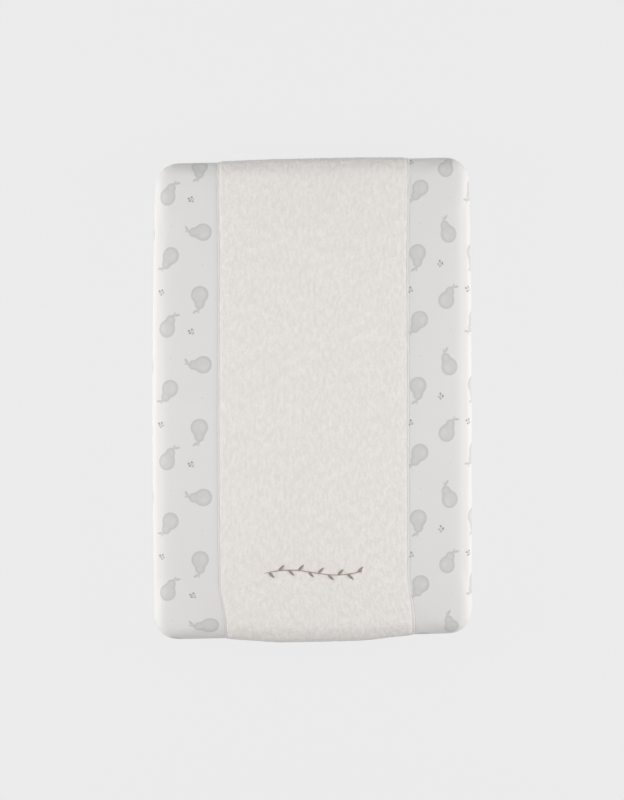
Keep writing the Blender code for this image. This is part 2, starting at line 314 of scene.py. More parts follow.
def rounded_block(half_x, half_y, low, high, radii, cells):
    """A closed box of small cells, drawn in to a block with round corners and edges.

    Layers: 'box' is each point's place before that; 'laid' is its place on the flat cloth up to
    the walls, with its way down them as z; 'side' is 0 above and below, 1 left and right and 2 at
    the ends.
    """
    corner_r, shoulder_r, lower_r = radii
    block = bmesh.new()
    bmesh.ops.create_cube(block, size=1.0)
    bmesh.ops.scale(block, vec=(2 * half_x, 2 * half_y, high - low), verts=block.verts)
    bmesh.ops.translate(block, vec=(0, 0, (low + high) / 2), verts=block.verts)
    for axis, count in enumerate(cells):
        along = []
        for edge in block.edges:
            run = edge.verts[1].co - edge.verts[0].co
            if abs(run[axis]) > run.length * 0.9:
                along.append(edge)
        bmesh.ops.subdivide_edges(block, edges=along, cuts=count - 1, use_grid_fill=True)
    laid = block.verts.layers.float_vector.new("laid")
    boxed = block.verts.layers.float_vector.new("box")
    side = block.faces.layers.int.new("side")
    block.normal_update()
    for face in block.faces:
        face[side] = 0 if abs(face.normal.z) > 0.5 else 1 if abs(face.normal.x) > 0.5 else 2
    wall = high - low - shoulder_r - lower_r
    top_path = corner_r - shoulder_r + shoulder_r * math.pi / 2
    for vert in block.verts:
        x, y, z = vert[boxed] = vert.co
        core = Vector((max(corner_r - half_x, min(half_x - corner_r, x)),
                       max(corner_r - half_y, min(half_y - corner_r, y))))
        out_x, out_y = drawn_in(abs(x - core.x), abs(y - core.y))
        radius = math.hypot(out_x, out_y)
        if radius == 0:
            vert[laid] = (x, y, 0)
            continue
        away = Vector((math.copysign(out_x, x), math.copysign(out_y, y))) / radius
        above = z > (low + high) / 2
        turn = shoulder_r if above else lower_r
        out = turn - corner_r + radius
        up = turn - (high - z if above else z - low)
        path = radius
        run = 0
        if above and out > 0:
            path = corner_r - shoulder_r + shoulder_r * math.atan2(out, max(up, 0))
            run = max(-up, 0)
        elif not above:
            path = top_path
            run = wall - max(-up, 0) + lower_r * math.atan2(max(up, 0), max(out, 0))
            run += max(-out, 0)
        flat = core + away * path
        vert[laid] = (flat.x, flat.y, run)
        out, up = drawn_in(out, up)
        radius = max(corner_r - turn + out, 0) if up > 0 or out > 0 else radius
        if up > 0:
            z = high - turn + up if above else low + turn - up
        spot = core + away * radius
        vert.co = (spot.x, spot.y, z)
    return block


def made(name, shape, surface, slot, *stands_for):
    """Lay a finished shape as the mat lies and make it a piece that rides on the mat."""
    piece = shown(name, shape)
    shape.free()
    for vert in piece.data.vertices:
        vert.co = settle(vert.co)
    piece.data.shade_smooth()
    piece.data.materials.append(surface)
    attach(piece, "root")
    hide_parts(*stands_for)
    return piece


foam_block = rounded_block(foam_high.x - EASE, foam_high.y - EASE, foam_low.z,
                           foam_high.z - EASE, FOAM_RADII, FOAM_CELLS)
foam_finish, link, feed = finish("open_cell_foam", Roughness=0.95, Specular_IOR_Level=0.2)
spot = link.places()
cells = link.node("TexVoronoi", {}, {"Vector": spot, "Scale": CELL_SCALE}, "Distance")
clouds = link.noise(spot, 14.0)
open_cell = cells.fade(0.05, 0.55)
feed(Base_Color=link.mix(open_cell * 0.7 + clouds * 0.3, *FOAM_TONES),
     Normal=open_cell.bump(0.0006))
foam = made("foam_block", foam_block, foam_finish, "foam", "foam_core")


# -------------------- wipe-clean skin
# Two sheets of coated fabric are moulded over the foam and welded together along a flat band
# low on the walls. Only the underside shows, through the opening of the cover.
SKIN_T = 0.0008
SKIN_RADII = (0.036, 0.018, 0.012)
SKIN_CELLS = (60, 90, 12)
SKIN_TONES = (0.72, 0.73, 0.73), (0.84, 0.84, 0.83)
CREASE = 0.0006
WELD_GAP = 0.0002  # between the band and each sheet
WELD_THICKER = 1.4
LATTICE_TURNS = 280  # ridges of the pressed lattice in a metre

skin_low, skin_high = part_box("pad_skin_bottom")
weld_low, weld_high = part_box("pad_weld_band")
_, skin_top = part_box("pad_skin_top")
skin_block = rounded_block(skin_high.x - EASE, skin_high.y - EASE, skin_low.z,
                           skin_top.z - EASE, SKIN_RADII, SKIN_CELLS)


def faced_out(shape):
    bmesh.ops.recalc_face_normals(shape, faces=shape.faces)


def skin_part(low, high, thickness):
    """The part of the skin between two heights, as a sheet with its thickness."""
    part = skin_block.copy()
    for level, above in ((low, False), (high, True)):
        bmesh.ops.bisect_plane(part, geom=part.verts[:] + part.edges[:] + part.faces[:],
                               plane_co=(0, 0, level), plane_no=(0, 0, 1), dist=1e-6,
                               clear_inner=not above, clear_outer=above)
    bmesh.ops.solidify(part, geom=part.faces[:], thickness=thickness)
    faced_out(part)
    return part


def coated(name, hatch):
    """White coated fabric with a fine leather grain; the weld has a pressed lattice."""
    surface, link, feed = finish(name, Roughness=0.5, Coat_Weight=0.15, Coat_Roughness=0.35)
    spot = link.places()
    grain = link.node("TexVoronoi", {"feature": "SMOOTH_F1"},
                      {"Vector": spot, "Scale": 640.0}, "Distance")
    clouds = link.noise(spot, 9.0, 4.0)
    relief = grain.fade(0.1, 0.6)
    if hatch:
        across, along, upright = spot.parts()
        slant = (across + along + upright).wave(LATTICE_TURNS)
        other = (across + along - upright).wave(LATTICE_TURNS)
        relief = slant.most(other).fade(0.2, 0.9)
    tone = clouds * 0.6 + relief * 0.4
    feed(Base_Color=link.mix(tone, *SKIN_TONES),
         Roughness=relief * -0.12 + 0.56, Normal=relief.bump(0.00025))
    return surface


skin_finish = coated("coated_fabric_skin", False)
weld_finish = coated("welded_edge_lattice", True)
sheet_top = skin_part(weld_high.z + WELD_GAP, 1.0, SKIN_T)
sheet_bottom = skin_part(-1.0, weld_low.z - WELD_GAP, SKIN_T)
weld_strip = skin_part(weld_low.z, weld_high.z, SKIN_T * WELD_THICKER)
for vert in sheet_bottom.verts:
    x, y, z = vert.co
    if z < skin_low.z + 0.003:
        pull = noise.noise(Vector((x * 11, y * 11, 3.0))) + noise.noise(Vector((x, y, 7)) * 31) / 2
        vert.co.z += CREASE * pull
upper_skin = made("upper_skin", sheet_top, skin_finish, "coated_fabric", "pad_skin_top")
lower_skin = made("lower_skin", sheet_bottom, skin_finish, "coated_fabric", "pad_skin_bottom")
made("weld_band", weld_strip, weld_finish, "welded_edge", "pad_weld_band")
skin_block.free()


# -------------------- vent eyelets
# Four turned plastic eyelets let air in and out of the foam when the pad is pressed. Each is a
# flanged barrel pushed up through the lower sheet, with its edge crimped over inside.
EYELET_TURNS = 40
EYELET_TONES = (0.70, 0.71, 0.71), (0.80, 0.80, 0.79)

eyelet_finish, link, feed = finish("moulded_eyelet", Roughness=0.34)
spot = link.places()
clouds = link.noise(spot, 300.0)
feed(Base_Color=link.mix(clouds, *EYELET_TONES),
     Roughness=clouds * 0.16 + 0.26, Normal=clouds.bump(0.0001))
for place in ("head_left", "head_right", "foot_left", "foot_right"):
    low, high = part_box("vent_eyelet_" + place)
    middle = (low + high) / 2
    flange = high.x - middle.x
    outline = ((flange * 0.50, low.z), (flange * 0.90, low.z), (flange, low.z + 0.0003),
               (flange * 0.97, low.z + 0.0006), (flange * 0.66, low.z + 0.0007),
               (flange * 0.62, high.z - 0.0007), (flange * 0.80, high.z - 0.0006),
               (flange * 0.82, high.z - 0.0002), (flange * 0.60, high.z),
               (flange * 0.49, high.z - 0.0003))
    ring = bmesh.new()
    corners = [ring.verts.new((middle.x + out, middle.y, z)) for out, z in outline]
    edges = [ring.edges.new(pair) for pair in zip(corners, corners[1:] + corners[:1])]
    bmesh.ops.spin(ring, geom=corners + edges, cent=middle, axis=(0, 0, 1), angle=math.tau,
                   steps=EYELET_TURNS, use_merge=True)
    bmesh.ops.remove_doubles(ring, verts=ring.verts, dist=1e-6)
    faced_out(ring)
    made("eyelet_" + place, ring, eyelet_finish, "eyelet", "vent_eyelet_" + place)


# -------------------- terry centre panel
# Warm off-white cotton terry, head to foot and in below the pad, sewn to the jersey on both
# sides. The whole cover is laid out first as one fine grid over the pad, blown up as stretched
# cloth, and then parted at the seams; the loops stand up from it as a soft pile.
SLACK = 0.0035  # the form starts this far below the finished top
WALL_SLACK = 0.0014
SWELL = 0.0046  # the most that the foam pushes the cloth out
WALL_BULGE = 0.0012
PRESSURE = 4.0
STRETCH_FRAMES = 20
TERRY_CELLS = 20  # grid cells from the middle to a seam
SIDE_CELLS = 14  # and on to the side wall
LENGTH_CELLS = 102
WALL_CELLS = 12
TURN_CELLS = 2  # underneath, before the cloth turns straight in
REACH_CELLS = 6  # from there to the hem
COVER_RADII = (0.036, 0.021, 0.014)
FORM_LEVEL = 0.0034  # the underside of the form
OPEN_R = 0.080
HEM_OVERLAP = 0.0010  # how far the cloth runs in over the casing
HEM_LEVEL = 0.0026
REST_LEVEL = 0.0030  # the underside of the jersey, above the floor
SEAM_DIP = 0.0005  # the seams pull the cloth down a little
DIP_SPREAD = 0.0035
PILE = 0.0021  # how far the terry stands above the jersey
PILE_EDGE = 0.0100  # the width over which the pile sinks to the seam
PILE_FOOT = 0.0001  # the pile that is left there
LOOP_RELIEF = 0.0010
LOOP_SIZE = (0.0030, 0.0054)
ROW_SIZE = (0.0046, 0.0125)
TERRY_EDGE = 0.0027
# Terry colours: the darker one is painted shade for the crevices between the loops, the lighter one
# is the cotton's own tone.
TERRY_TONES_AND_SHADE = (0.785, 0.748, 0.718), (0.890, 0.850, 0.820)

_, print_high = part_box("printed_panel_right")
hem_low, hem_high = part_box("hem_casing")
cover_x = print_high.x - WALL_SLACK
cover_y = print_high.y - WALL_SLACK
open_x = hem_high.x - HEM_OVERLAP
open_y = hem_high.y - HEM_OVERLAP


def layer(shape, name):
    return shape.verts.layers.float_vector[name]


form = rounded_block(cover_x, cover_y, FORM_LEVEL, print_high.z - SLACK, COVER_RADII,
                     (2 * (TERRY_CELLS + SIDE_CELLS), LENGTH_CELLS, WALL_CELLS))
boxed = layer(form, "box")
laid = layer(form, "laid")
side = form.faces.layers.int["side"]
seam_box = cover_x * TERRY_CELLS / (TERRY_CELLS + SIDE_CELLS)
turned_x = cover_x * (1 - TURN_CELLS / (TERRY_CELLS + SIDE_CELLS))
turned_y = cover_y * (1 - 2 * TURN_CELLS / LENGTH_CELLS)
below = min(vert[boxed].z for vert in form.verts)
hole = []
for face in form.faces:
    spots = [vert[boxed] for vert in face.verts]
    if all(spot.z < below + 1e-6 and abs(spot.x) < turned_x + 1e-5
           and abs(spot.y) < turned_y + 1e-5 for spot in spots):
        hole.append(face)
bmesh.ops.delete(form, geom=hole, context="FACES")


def opening_point(spot):
    """The place on the hem that the cloth turned in at this point of the box reaches."""
    x, y = spot.x * open_x / turned_x, spot.y * open_y / turned_y
    core_x = max(OPEN_R - open_x, min(open_x - OPEN_R, x))
    core_y = max(OPEN_R - open_y, min(open_y - OPEN_R, y))
    out_x, out_y = drawn_in(abs(x - core_x), abs(y - core_y))
    return Vector((core_x + math.copysign(out_x, x), core_y + math.copysign(out_y, y), HEM_LEVEL))


edge_loop = [edge for edge in form.edges if edge.is_boundary]
for step in range(REACH_CELLS):
    grown = bmesh.ops.extrude_edge_only(form, edges=edge_loop)["geom"]
    hem_verts = [item for item in grown if isinstance(item, bmesh.types.BMVert)]
    edge_loop = [item for item in grown
                 if isinstance(item, bmesh.types.BMEdge) and item.is_boundary]
    for vert in hem_verts:
        way = (opening_point(vert[boxed]) - vert.co) / (REACH_CELLS - step)
        vert.co += way
        vert[laid] = vert[laid] + Vector((0, 0, way.length))
faced_out(form)
if sum(face.normal.z for face in form.faces if face.calc_center_median().z > 0.07) < 0:
    bmesh.ops.reverse_faces(form, faces=form.faces)

cloth_map = form.loops.layers.uv.new("cloth")
for face in form.faces:
    middle = sum((vert[boxed] for vert in face.verts), Vector()) / len(face.verts)
    if middle.z < below + 1e-5:
        face[side] = 1 if cover_x - abs(middle.x) < cover_y - abs(middle.y) else 2
    for loop in face.loops:
        u, v, run = loop.vert[laid]
        if face[side] == 1:
            u += math.copysign(run, middle.x)
        elif face[side] == 2:
            v += math.copysign(run, middle.y)
        loop[cloth_map].uv = (u, v)


def blown_up(shape, held_verts):
    """The places of the points once the cloth is stretched over the pad."""
    starts = [vert.co.copy() for vert in shape.verts]
    shape.normal_update()
    outwards = [vert.normal.copy() for vert in shape.verts]
    shape.verts.index_update()
    held_points = [vert.index for vert in held_verts]
    trial = shown("cover_form", shape)
    mesh = trial.data
    trial.vertex_groups.new(name="hem").add(held_points, 1.0, "REPLACE")
    cloth = trial.modifiers.new("cloth", "CLOTH")
    cloth.settings.use_pressure = True
    cloth.settings.uniform_pressure_force = PRESSURE
    cloth.settings.effector_weights.gravity = 0
    cloth.settings.vertex_group_mass = "hem"
    cloth.settings.quality = 6
    cloth.collision_settings.use_collision = False
    cloth.point_cache.frame_end = STRETCH_FRAMES
    for step in range(1, STRETCH_FRAMES + 1):
        scene.frame_set(step)
    settled = trial.evaluated_get(bpy.context.evaluated_depsgraph_get())
    ends = [vert.co.copy() for vert in settled.data.vertices]
    bpy.data.objects.remove(trial)
    bpy.data.meshes.remove(mesh)
    scene.frame_set(1)
    places = []
    for start, out, end in zip(starts, outwards, ends):
        way = end - start
        way -= out * min(0, way.dot(out))  # the foam lets no cloth in
        if way.length > SWELL:
            way *= SWELL / way.length
        places.append(start + way)
    return places


for vert, place in zip(form.verts, blown_up(form, hem_verts)):
    swell = math.sin(math.pi * ramp(place.z, 0.0, 0.088)) * (1 - abs(vert.normal.z)) * WALL_BULGE
    vert.co = place + vert.normal * swell
    vert.co.z = max(vert.co.z, REST_LEVEL)


def subdivided(shape, levels):
    """A finer copy of a shape, with its layers and maps."""
    holder = shown("finer", shape)
    mesh = holder.data
    finer = holder.modifiers.new("finer", "SUBSURF")
    finer.levels = finer.render_levels = levels
    result = bmesh.new()
    result.from_mesh(holder.evaluated_get(bpy.context.evaluated_depsgraph_get()).to_mesh())
    bpy.data.objects.remove(holder)
    bpy.data.meshes.remove(mesh)
    return result


form = subdivided(form, 1)
boxed = layer(form, "box")
form.normal_update()
for vert in form.verts:
    off_seam = abs(abs(vert[boxed].x) - seam_box)
    pull = 1 + 0.5 * noise.noise(vert.co * 55)
    vert.co -= vert.normal * SEAM_DIP * pull * math.exp(-(off_seam / DIP_SPREAD) ** 2)
form.normal_update()


def panel(low, high, levels):
    """The faces of the cover between two places across it, with layers and maps."""
    part = form.copy()
    boxed = layer(part, "box")
    outside = []
    for face in part.faces:
        across = sum(vert[boxed].x for vert in face.verts) / len(face.verts)
        if not low < across < high:
            outside.append(face)
    bmesh.ops.delete(part, geom=outside, context="FACES")
    if levels:
        part = subdivided(part, levels)
    part.normal_update()
    return part


def flat_place(vert, laid):
    """Where a point lies on the flat cloth, taking the ends as turned straight down."""
    u, v, run = vert[laid]
    return Vector((u, v + math.copysign(run, v), 0))


def bake_map(shape, width, length):
    """Unfold the panel in two halves, side by side, to fill the square of its baked texture."""
    cloth = shape.loops.layers.uv["cloth"]
    square = shape.loops.layers.uv.new("OFBake")
    left = min(loop[cloth].uv.x for face in shape.faces for loop in face.loops)
    for face in shape.faces:
        foot = face.calc_center_median().y < 0
        for loop in face.loops:
            u, v = loop[cloth].uv
            across = (u - left) / width
            loop[square].uv = (0.01 + 0.47 * across + 0.5 * foot, 0.01 + 0.98 * abs(v) / length * 2)


def seam_line(shape, sign):
    """The points of the cover along a seam, from under the foot end to under the head end."""
    boxed = layer(shape, "box")
    laid = layer(shape, "laid")
    line = [vert for vert in shape.verts if abs(vert[boxed].x - sign * seam_box) < 1e-4]
    line.sort(key=lambda vert: flat_place(vert, laid).y)
    return line


terry = panel(-seam_box, seam_box, 1)
laid = layer(terry, "laid")
boxed = layer(terry, "box")
# The pile value raises the loops here. The terry material also reads it to darken the low places as
# painted shade.
pile = terry.verts.layers.float.new("pile")
raised = []
for vert in terry.verts:
    spot = flat_place(vert, laid)
    inside = (seam_box - abs(vert[boxed].x)) / PILE_EDGE
    depth = math.sqrt(max(0.0, 1 - max(0.0, 1 - inside) ** 2))
    loops = noise.voronoi(Vector((spot.x / LOOP_SIZE[0], spot.y / LOOP_SIZE[1], 1.0)))[0][0]
    rows = noise.noise(Vector((spot.x / ROW_SIZE[0], spot.y / ROW_SIZE[1], 5.0)))
    vert[pile] = max(0.0, min(1.0, 0.95 - loops * 1.1 + rows * 0.55))
    stand = PILE_FOOT + (PILE - PILE_FOOT) * depth
    raised.append(stand + LOOP_RELIEF * (vert[pile] - 0.6) * depth)
for vert, height in zip(terry.verts, raised):
    vert.co += vert.normal * height
    vert.co.z = max(vert.co.z, 0.0002)
rim = [edge for edge in terry.edges if edge.is_boundary]
normals = {vert: vert.normal.copy() for vert in terry.verts}
grown = bmesh.ops.extrude_edge_only(terry, edges=rim)["geom"]
for vert in grown:
    if isinstance(vert, bmesh.types.BMVert):
        source = next(edge.other_vert(vert) for edge in vert.link_edges
                      if edge.other_vert(vert) in normals)
        vert.co -= normals[source] * TERRY_EDGE
spans = [flat_place(vert, laid) for vert in terry.verts]
terry_flat = (2 * max(spot.x for spot in spans), 2 * max(spot.y for spot in spans))
bake_map(terry, *terry_flat)

terry_finish, link, feed = finish("cotton_terry", Roughness=0.95, Specular_IOR_Level=0.15,
                                  Sheen_Weight=0.25, Sheen_Roughness=0.6)
spot = link.places()
# Painted shade: the colour darkens where the pile is low and towards the edges of the loop cells,
# as shade in the crevices between loops. The clouds and patches add random tone on top.
pile_shade = link.node("Attribute", {"attribute_name": "pile"}, {}, "Fac")
tall = link.node("Mapping", {}, {"Vector": spot, "Scale": (1.0, 0.55, 1.0)})
loops = link.node("TexVoronoi", {}, {"Vector": tall, "Scale": 480.0}, "Distance")
fluff = link.noise(spot, 900.0, 3.0)
clouds = link.noise(spot, 22.0, 4.0)
patches = link.noise(spot, 6.0)
tone = pile_shade * 0.65 + (1 - loops) * 0.25 + clouds * 0.24 + patches * 0.12 - 0.12
height = (1 - loops) * 0.7 + fluff * 0.5
feed(Base_Color=link.mix(tone.fade(-0.05, 1.05), *TERRY_TONES_AND_SHADE), Normal=height.bump(0.0008))
terry_panel = made("terry_panel", terry, terry_finish, "terry", "terry_centre_panel")


# -------------------- printed jersey panels
# Fine cotton jersey printed in pale greys with pears, small berry sprigs and dots. Each panel is
# cut to run over the shoulder, down the wall and in below the pad, with darts at its corners.
JERSEY_T = 0.0009
COLUMN = 0.0488  # between two columns of pears
ROW = 0.1018  # between two pears of a column
PEAR_SCALE = 1.14
WALE = 0.0013  # between two ribs of the knit
COURSE = 0.0011  # and between two rows
FOLD_DEPTH = 0.0011  # puckers beside the darts
FOLD_PITCH = 0.0135
FOLD_SPREAD = 0.020
GATHER_DEPTH = 0.0022  # gathers towards the elastic
GATHER_PITCH = 0.0155
SLACK_DEPTH = 0.0007  # slow waves on the walls
CLOTH_TONE = (0.800, 0.783, 0.768)
PEAR_TONE = (0.665, 0.664, 0.660)
PEAR_DARK = (0.540, 0.532, 0.528)
SPRIG_TONE = (0.270, 0.268, 0.272)
KNIT_TONE = (0.55, 0.54, 0.53)


def far(x, y):
    """The distance from the middle of a motif."""
    return x.math("SQRT", x * x + y * y)


def size(value):
    return value.math("ABSOLUTE", value)


def turned(x, y, angle):
    """Places turned by an angle that may change from motif to motif."""
    cos, sin = angle.math("COSINE", angle), angle.math("SINE", angle)
    return x * cos + y * sin, y * cos - x * sin


def pear(x, y):
    """Masks of a pear, of its stalk and leaf, and of the light patch on it."""
    fruit = x.math("SMOOTH_MIN", far(x, y + 0.0050) - 0.0118, far(x, y - 0.0080) - 0.0065, 0.006)
    stalk = (size(x - (y - 0.0135) * 0.30) - 0.0008).most(size(y - 0.0166) - 0.0034)
    leaf = far(((x - 0.0052) * 0.85 + (y - 0.0172) * 0.53) / 2.7,
               (y - 0.0172) * 0.85 - (x - 0.0052) * 0.53) - 0.0017
    patch = far((x + 0.0035) * 1.3, y + 0.0060)
    return (fruit.fade(0.0005, -0.0005), stalk.least(leaf).fade(0.0004, -0.0004),
            patch.fade(0.0058, 0.0030), fruit.fade(-0.0050, -0.0002))


def berry_sprig(x, y):
    """A mask of three berries on short stalks."""
    berries = (far(x, y - 0.0046) - 0.0017).least(far(x + 0.0036, y) - 0.0016)
    berries = berries.least(far(x - 0.0034, y - 0.0008) - 0.0016)
    stalks = (size(x) - 0.0004).most(size(y + 0.0006) - 0.0040)
    slant = (size(size(x) - (y + 0.0050) * 0.75) - 0.0004).most(size(y + 0.0026) - 0.0024)
    return berries.least(stalks).least(slant).fade(0.0003, -0.0003)


def pear_jersey(name, first_column, first_row, outer_row, slants, sprig_turn, sprig_start):
    """The printed cloth of one panel, in columns counted from the seam outwards. Slants are the
    pears' angles in even and odd rows of the first column, and then of the next."""
    surface, link, feed = finish(name, Roughness=0.88, Specular_IOR_Level=0.25,
                                 Sheen_Weight=0.15, Sheen_Roughness=0.5)
    sheet_map = link.node("UVMap", {"uv_map": "cloth"}, {})
    u, v, _ = sheet_map.parts()
    outwards = size(u) - first_column
    column = (outwards / COLUMN + 0.5).floor()
    odd_column = column % 2
    x = (outwards - column * COLUMN) * math.copysign(1, first_row[1])
    rise = v - first_row[0] - odd_column * (outer_row - first_row[0])
    row = (rise / ROW + 0.5).floor()
    y = rise - row * ROW
    odd_row = row % 2
    angles = [math.radians(slant) for slant in slants]
    inner = odd_row * (angles[1] - angles[0]) + angles[0]
    outer = odd_row * (angles[3] - angles[2]) + angles[2]
    angle = inner + odd_column * (outer - inner)
    fruit, stalk, patch, rim = pear(*turned(x / PEAR_SCALE, y / PEAR_SCALE, angle))
    gap = (rise / ROW).floor()
    between = rise - (gap + 0.5) * ROW
    plain = (gap + column * sprig_turn + sprig_start) % 2
    sprig = berry_sprig(*turned(x + 0.012, between, angle * 0.4)) * (1 - plain)
    dot = (far(x - 0.004, between) - 0.0011).fade(0.0004, -0.0004) * plain
    spot = link.places()
    wash = link.noise(spot, 140.0, 4.0)
    clouds = link.noise(spot, 10.0, 3.0)
    wales = u.wave(1 / WALE)
    courses = v.wave(1 / COURSE)
    knit = wales * courses * 0.25 + 0.5
    fuzz = link.noise(spot, 1500.0)
    cloth = link.mix(clouds, tuple(tone * 0.965 for tone in CLOTH_TONE), CLOTH_TONE)
    fruit_tone = link.mix(rim * 0.55 + wash * 0.5 - patch * 0.35, PEAR_TONE, PEAR_DARK)
    colour = link.mix(fruit * 0.9, cloth, fruit_tone)
    colour = link.mix(stalk * 0.8, colour, PEAR_DARK)
    colour = link.mix(sprig * 0.85, colour, SPRIG_TONE)
    colour = link.mix(dot * 0.5, colour, PEAR_DARK)
    colour = link.mix(knit * 0.05 + fuzz * 0.05, colour, KNIT_TONE)
    feed(Base_Color=colour, Normal=(knit + fuzz * 0.6).bump(0.00025))
    return surface


def creased(part):
    """Puckers beside the corner darts, and gathers towards the elastic."""
    laid = layer(part, "laid")
    corner_r = COVER_RADII[0]
    moves = []
    for vert in part.verts:
        x, y, _ = vert.co
        u, v, run = vert[laid]
        out_x = abs(x) - (cover_x - corner_r)
        out_y = abs(y) - (cover_y - corner_r)
        off_dart = corner_r * (math.atan2(max(out_y, 1e-6), max(out_x, 1e-6)) - math.pi / 4)
        off_dart += min(out_x, 0) - min(out_y, 0)
        low = ramp(run, -0.01, 0.05)
        fold = math.sin(math.tau * off_dart / FOLD_PITCH + 2 * noise.noise(vert.co * 30))
        fold *= math.exp(-(off_dart / FOLD_SPREAD) ** 2) * low * FOLD_DEPTH
        around = u - math.copysign(v, u * v) if u * v else u + v
        gather = math.sin(math.tau * around / GATHER_PITCH + 4 * noise.noise(vert.co * 25))
        gather *= GATHER_DEPTH / 2 * ramp(run, 0.062, 0.115)
        slack = noise.noise(Vector((u * 16, v * 9, run * 20))) * SLACK_DEPTH
        slack *= ramp(run, -0.02, 0.03)
        lift = gather + GATHER_DEPTH / 3 * low * ramp(run, 0.062, 0.09)
        moves.append(vert.normal * (fold + slack) + Vector((0, 0, lift)))
    for vert, move in zip(part.verts, moves):
        vert.co += move
        vert.co.z = max(vert.co.z, REST_LEVEL)


left_print = pear_jersey("pear_jersey_left", 0.1748, (0.0576, -1), 0.0172,
                         (90, 180, 150, -25), 1, 0)
right_print = pear_jersey("pear_jersey_right", 0.1612, (0.0131, 1), 0.0520,
                          (180, 150, 25, -25), 0, 1)
for place, sign, surface in (("left", -1, left_print), ("right", 1, right_print)):
    near, away = sorted((sign * seam_box, sign * 1.0))
    side_panel = panel(near, away, 0)
    creased(side_panel)
    cloth = side_panel.loops.layers.uv["cloth"]
    outlines = [[loop[cloth].uv.copy() for loop in face.loops] for face in side_panel.faces]
    spots = [spot for outline in outlines for spot in outline]
    jersey_flat = (max(abs(spot.x) for spot in spots) - seam_box,
                   2 * max(abs(spot.y) for spot in spots))
    jersey_area = sum(abs((c - a).cross(d - b)) / 2 for a, b, c, d in outlines)
    bake_map(side_panel, *jersey_flat)
    jersey = made("jersey_panel_" + place, side_panel, surface, "printed_jersey",
                  "printed_panel_" + place)
    wall = jersey.modifiers.new("thickness", "SOLIDIFY")
    wall.thickness = JERSEY_T
    wall.offset = -1


# -------------------- overlocked seams
# Polyester overlock thread wraps the joined edges of terry and jersey. Each seam is a low ridge
# of slanting thread loops that runs from hem to hem over the pad.
SEAM_HALF = 0.0024
SEAM_RISE = 0.0013
SEAM_PITCH = 0.0026
SEAM_STEP = 0.00065
SEAM_SWAY = 0.0005
SEAM_AROUND = 10
END_STEPS = 12  # over which a ridge tapers out
THREAD_SWELL = 0.16  # how far each loop of thread stands out
SEAM_TONES = (0.84, 0.815, 0.795), (0.97, 0.945, 0.92)


def lofted(loops, closed=False):
    """Extrude a loop of points through the loops after it, into a closed skin."""
    shape = bmesh.new()
    verts = [shape.verts.new(point) for point in loops[0]]
    edges = [shape.edges.new(pair) for pair in zip(verts, verts[1:] + verts[:1])]
    first = edges
    for points in loops[1:] + loops[:1] * closed:
        grown = bmesh.ops.extrude_edge_only(shape, edges=edges)["geom"]
        risen = {item for item in grown if isinstance(item, bmesh.types.BMVert)}
        edges = [item for item in grown
                 if isinstance(item, bmesh.types.BMEdge) and risen.issuperset(item.verts)]
        verts = [next(edge.other_vert(vert) for edge in vert.link_edges
                      if edge.other_vert(vert) in risen) for vert in verts]
        for vert, point in zip(verts, points):
            vert.co = point
    if closed:
        bmesh.ops.remove_doubles(shape, verts=shape.verts, dist=1e-6)
    else:
        bmesh.ops.contextual_create(shape, geom=first)
        bmesh.ops.contextual_create(shape, geom=edges)
    faced_out(shape)
    if shape.calc_volume(signed=True) < 0:
        bmesh.ops.reverse_faces(shape, faces=shape.faces)
    return shape


def spaced(line, step):
    """Points and outward directions at even steps along a line of points of the cover."""
    spots = [(vert.co.copy(), vert.normal.copy()) for vert in line]
    result = []
    left = 0.0
    for (start, out), (end, out_end) in zip(spots, spots[1:]):
        span = (end - start).length
        while left < span:
            share = left / span
            result.append((start.lerp(end, share), out.lerp(out_end, share).normalized()))
            left += step
        left -= span
    return result


def ridge(line, step, half, rise, pitch, slant):
    """A ridge of slanting thread along a line: loops of points, one at each step."""
    spots = spaced(line, step)
    loops = []
    for index, (place, out) in enumerate(spots):
        before, after = spots[max(index - 1, 0)][0], spots[min(index + 1, len(spots) - 1)][0]
        across = (after - before).cross(out).normalized()
        sway = noise.noise(place * 90) * SEAM_SWAY
        end = min(index, len(spots) - 1 - index)
        taper = min(1.0, 0.05 + end / END_STEPS)
        points = []
        for turn in range(SEAM_AROUND):
            angle = math.tau * turn / SEAM_AROUND
            loop = math.sin(math.tau * index * step / pitch + slant * math.cos(angle))
            swell = taper * (1 + THREAD_SWELL * loop)
            side_way = across * (half * swell * math.cos(angle) + sway)
            height = math.sin(angle) * abs(math.sin(angle)) ** 0.8
            points.append(place + side_way + out * rise * swell * height)
        loops.append(points)
    return loops


def thread_finish(name, dark, light, strand):
    """Spun thread: fine slanting strands, a little fuzz and a soft sheen."""
    surface, link, feed = finish(name, Roughness=0.72, Sheen_Weight=0.3, Sheen_Roughness=0.4)
    spot = link.places()
    x, y, z = spot.parts()
    strands = (x * 0.6 + y + z * 0.8).wave(1 / strand)
    fuzz = link.noise(spot, 1200.0, 3.0)
    tone = strands * 0.25 + fuzz * 0.6 + 0.2
    feed(Base_Color=link.mix(tone, dark, light), Roughness=fuzz * 0.3 + 0.58,
         Normal=(strands * 0.5 + fuzz).bump(0.0002))
    return surface


seam_finish = thread_finish("overlock_thread", *SEAM_TONES, 0.0005)
for place, sign in (("left", -1), ("right", 1)):
    seam = lofted(ridge(seam_line(form, sign), SEAM_STEP, SEAM_HALF, SEAM_RISE, SEAM_PITCH, 1.4))
    made("overlock_" + place, seam, seam_finish, "seam", "overlock_seam_" + place)


# -------------------- corner darts
# The jersey has a sewn dart at each corner, from below the shoulder, down the wall and in below
# the pad. Its seam allowance shows as a narrow tucked ridge with small stitches.
DART_HALF = 0.0009
DART_RISE = 0.0007
DART_PITCH = 0.0022
DART_TOP = 0.016  # down the wall from the shoulder
DART_TONES = (0.62, 0.61, 0.60), (0.84, 0.825, 0.81)


